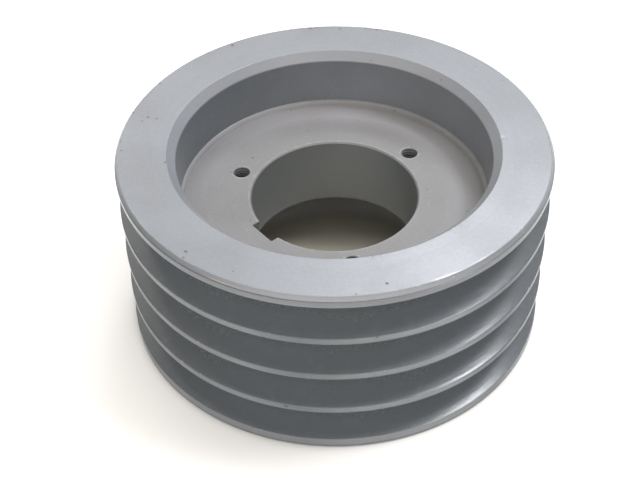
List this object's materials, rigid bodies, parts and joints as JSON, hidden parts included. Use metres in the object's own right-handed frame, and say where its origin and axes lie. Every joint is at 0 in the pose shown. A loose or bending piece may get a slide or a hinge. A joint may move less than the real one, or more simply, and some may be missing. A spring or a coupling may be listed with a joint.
{
  "type": "v belt pulley",
  "caption": "Wide multi-groove V-belt pulley with a recessed web, a tapered keyed bore for a screw-on bushing and tapped holes around it.",
  "frame": {"origin": "centre of the lower rim face, on the axis", "axes": "+Z along the axis, from the lower rim face to the upper one. +X and +Y lie in the lower rim face; the keyway points to 218.6 degrees from +X, counted towards +Y."},
  "size_m": [0.1765, 0.1766, 0.0825],
  "materials": {
    "rim_enamel": "blue-grey machinery enamel, satin, nicked at the edges",
    "groove_enamel": "blue-grey machinery enamel, satin, rubbed on the lands",
    "web_enamel": "grey enamel over a faced casting, dusty",
    "hub_iron": "grey iron, painted on the face and bare in the turned bore"
  },
  "bodies": {
    "root": {"rim": "rim_enamel", "upper_edge_flange": "rim_enamel", "lower_edge_flange": "rim_enamel", "groove_rib_1": "groove_enamel", "groove_rib_2": "groove_enamel", "groove_rib_3": "groove_enamel", "web": "web_enamel", "hub": "hub_iron"}
  },
  "joints": []
}
